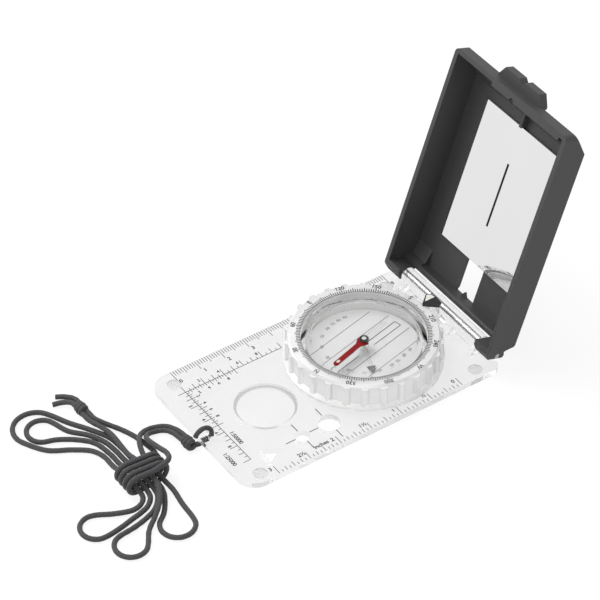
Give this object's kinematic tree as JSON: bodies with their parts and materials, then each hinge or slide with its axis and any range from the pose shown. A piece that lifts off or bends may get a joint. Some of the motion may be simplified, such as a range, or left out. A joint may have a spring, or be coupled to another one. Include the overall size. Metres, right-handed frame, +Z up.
{
  "type": "mirror compass",
  "caption": "Mirror sighting compass: clear base plate with scales, turning dial with a magnetic needle and tilt pointer, hinged mirror lid and a neck cord in a hank.",
  "frame": {"origin": "under the needle's pivot, on the plane the feet rest on, which is the bottom centre of the compass without its lanyard at rest", "axes": "+X to the right edge with the inch scale, +Y towards the hinge, +Z up"},
  "size_m": [0.0827, 0.195, 0.0959],
  "materials": {
    "clear_acrylic": "clear moulded acrylic, polished",
    "clear_lens": "clear acrylic, optically polished",
    "silicone": "clear silicone, matt",
    "pin_steel": "drawn stainless steel",
    "black_plastic": "black moulded plastic",
    "pale_inlay": "pale luminous inlay",
    "white_plastic": "white low-friction plastic",
    "milky_plastic": "milky translucent moulded plastic",
    "dial_film": "clear printed film",
    "red_lacquer": "red lacquer on steel",
    "jewel": "polished synthetic sapphire",
    "grey_print": "dark grey plastic",
    "charcoal_abs": "dark grey moulded ABS, fine matt texture",
    "mirror": "silvered acrylic mirror",
    "adhesive_pad": "foam adhesive pad",
    "cord": "dark grey braided polyester cord"
  },
  "bodies": {
    "base": {"base_plate": "clear_acrylic", "magnifier_lens": "clear_lens", "feet": "silicone", "hinge_pin": "pin_steel", "index_marker": "black_plastic", "index_inlay": "pale_inlay", "friction_washer": "white_plastic", "lanyard_hitch": "cord", "lanyard_knot": "cord", "lanyard_lead": "cord", "lanyard_hank": "cord", "lanyard_wrap": "cord", "lanyard_ends": "cord", "end_knot": "cord", "lanyard_tails": "cord"},
    "dial": {"bezel_ring": "milky_plastic", "capsule_cup": "clear_acrylic", "capsule_window": "clear_lens", "capsule_seal": "silicone", "bezel_retainer": "white_plastic", "orienting_disc": "dial_film", "pivot_post": "pin_steel"},
    "needle": {"needle_north": "red_lacquer", "needle_south": "clear_acrylic", "needle_cap": "black_plastic", "needle_jewel": "jewel"},
    "tilt": {"tilt_arm": "clear_acrylic", "tilt_pointer": "grey_print"},
    "lid": {"lid_shell": "charcoal_abs", "mirror_plate": "mirror", "mirror_pad": "adhesive_pad"}
  },
  "joints": [
    {"name": "lid_hinge", "type": "hinge", "parent": "base", "child": "lid", "pos_m": [0, 0.03484, 0.008], "axis": [1, 0, 0], "range_deg": [-55, 109]},
    {"name": "bezel_turn", "type": "hinge", "parent": "base", "child": "dial", "pos_m": [0, 0, 0.008], "axis": [0, 0, 1], "continuous": true},
    {"name": "needle_spin", "type": "hinge", "parent": "dial", "child": "needle", "pos_m": [0, 0, 0.0105], "axis": [0, 0, 1], "continuous": true},
    {"name": "tilt_swing", "type": "hinge", "parent": "dial", "child": "tilt", "pos_m": [0, 0, 0.0073], "axis": [0, 0, 1], "continuous": true}
  ]
}
